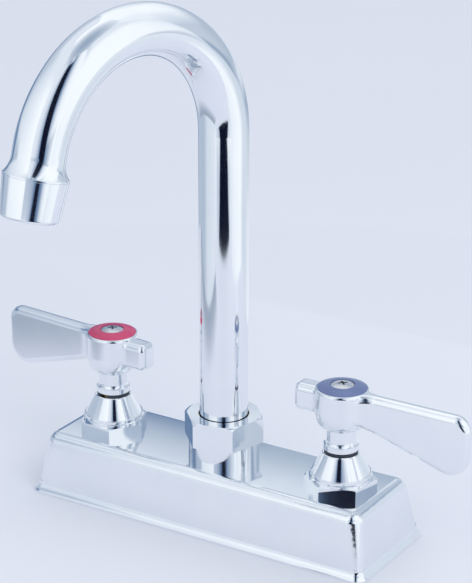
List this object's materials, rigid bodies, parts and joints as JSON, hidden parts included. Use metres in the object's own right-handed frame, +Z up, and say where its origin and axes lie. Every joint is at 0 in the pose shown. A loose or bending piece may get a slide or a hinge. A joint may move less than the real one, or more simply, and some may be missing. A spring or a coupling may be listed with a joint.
{
  "type": "gooseneck faucet",
  "caption": "Two-handle deck-mount basin faucet with a flared rectangular body, quarter-turn lever handles and a swivelling gooseneck spout.",
  "frame": {"origin": "on the deck surface, on the spout's swivel axis, midway between the two valves", "axes": "+X along the body towards the cold valve, -Y towards the user, +Z up out of the deck"},
  "size_m": [0.205, 0.1267, 0.2063],
  "materials": {
    "chrome": "polished plating on brass",
    "brass": "machined",
    "stainless_steel": "bright",
    "black_steel": "blackened spring steel",
    "black_rubber": "matt",
    "white_ceramic": "lapped alumina",
    "white_acetal": "moulded",
    "red_plastic": "moulded",
    "blue_plastic": "moulded"
  },
  "bodies": {
    "root": {"body_casting": "chrome", "deck_gasket": "black_rubber", "spout_nut": "chrome", "lower_slip_washer": "white_acetal", "upper_slip_washer": "white_acetal", "left_bonnet": "chrome", "left_bonnet_o_ring": "black_rubber", "left_fixed_disc": "white_ceramic", "left_seat_seal": "black_rubber", "right_bonnet": "chrome", "right_bonnet_o_ring": "black_rubber", "right_fixed_disc": "white_ceramic", "right_seat_seal": "black_rubber"},
    "left_lever": {"left_handle": "chrome", "left_stem": "brass", "left_stem_o_rings": "black_rubber", "left_stem_clip": "black_steel", "left_moving_disc": "white_ceramic", "hot_index_ring": "red_plastic", "left_handle_screw": "stainless_steel"},
    "right_lever": {"right_handle": "chrome", "right_stem": "brass", "right_stem_o_rings": "black_rubber", "right_stem_clip": "black_steel", "right_moving_disc": "white_ceramic", "cold_index_ring": "blue_plastic", "right_handle_screw": "stainless_steel"},
    "spout": {"spout_tube": "chrome", "spout_ferrule": "brass", "spout_o_rings": "black_rubber", "outlet_fitting": "chrome", "aerator_housing": "chrome", "aerator_washer": "black_rubber", "aerator_insert": "white_acetal", "aerator_screen": "stainless_steel"}
  },
  "joints": [
    {"name": "spout_swivel", "type": "hinge", "parent": "root", "child": "spout", "pos_m": [0, 0, 0.03], "axis": [0, 0, 1], "continuous": true},
    {"name": "left_lever_turn", "type": "hinge", "parent": "root", "child": "left_lever", "pos_m": [-0.0508, 0, 0.03], "axis": [0, 0, 1], "range_deg": [0, 90]},
    {"name": "right_lever_turn", "type": "hinge", "parent": "root", "child": "right_lever", "pos_m": [0.0508, 0, 0.03], "axis": [0, 0, 1], "range_deg": [-90, 0]}
  ]
}
